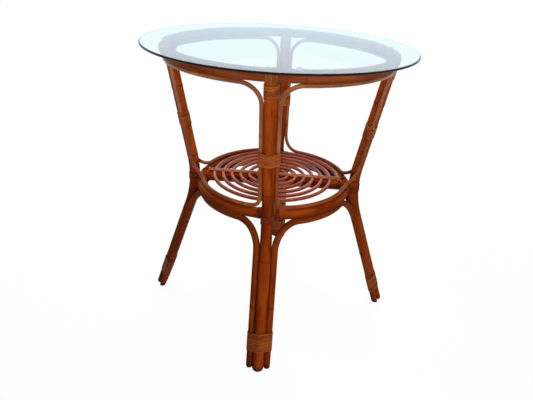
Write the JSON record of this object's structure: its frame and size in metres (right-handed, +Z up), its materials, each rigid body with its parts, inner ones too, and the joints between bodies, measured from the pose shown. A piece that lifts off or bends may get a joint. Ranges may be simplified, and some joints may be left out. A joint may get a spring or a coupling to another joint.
{
  "type": "table",
  "caption": "Round bistro table with a loose clear glass top on a bent rattan frame with bound joints and a spiral cane shelf at its waist.",
  "frame": {"origin": "on the floor under the middle of the glass", "axes": "+Z up; the legs stand on the diagonals of X and Y"},
  "size_m": [0.6999, 0.7, 0.77],
  "materials": {
    "glass": "clear float glass with a polished dark green edge",
    "pad": "clear soft bumper",
    "pole": "red-brown stained rattan pole under gloss lacquer",
    "cane": "red-brown stained thin cane under gloss lacquer",
    "peel": "split cane peel, lighter brown, lacquered",
    "screw": "plain countersunk steel, hidden under the bindings"
  },
  "bodies": {
    "frame": {"glass_pads": "pad", "top_ring": "pole", "lower_ring": "pole", "leg_back_right": "pole", "leg_back_left": "pole", "leg_front_left": "pole", "leg_front_right": "pole", "upper_arch_right": "cane", "upper_arch_back": "cane", "upper_arch_left": "cane", "upper_arch_front": "cane", "lower_arch_right": "cane", "lower_arch_back": "cane", "lower_arch_left": "cane", "lower_arch_front": "cane", "brace_right": "pole", "brace_back": "pole", "brace_left": "pole", "brace_front": "pole", "shelf_rod_long": "pole", "shelf_rod_front": "pole", "shelf_rod_back": "pole", "shelf_spiral": "cane", "shelf_lath_long": "cane", "shelf_lath_front": "cane", "shelf_lath_back": "cane", "ring_straps_back_right": "peel", "ring_straps_back_left": "peel", "ring_straps_front_left": "peel", "ring_straps_front_right": "peel", "top_binding_back_right": "peel", "top_binding_back_left": "peel", "top_binding_front_left": "peel", "top_binding_front_right": "peel", "mid_binding_back_right": "peel", "mid_binding_back_left": "peel", "mid_binding_front_left": "peel", "mid_binding_front_right": "peel", "waist_binding_back_right": "peel", "waist_binding_back_left": "peel", "waist_binding_front_left": "peel", "waist_binding_front_right": "peel", "foot_binding_back_right": "peel", "foot_binding_back_left": "peel", "foot_binding_front_left": "peel", "foot_binding_front_right": "peel", "top_screws": "screw", "waist_screws": "screw"},
    "top": {"glass_top": "glass"}
  },
  "joints": [
    {"name": "glass_lift", "type": "slide", "parent": "frame", "child": "top", "axis": [0, 0, 1], "range_m": [0, 0.12]}
  ]
}
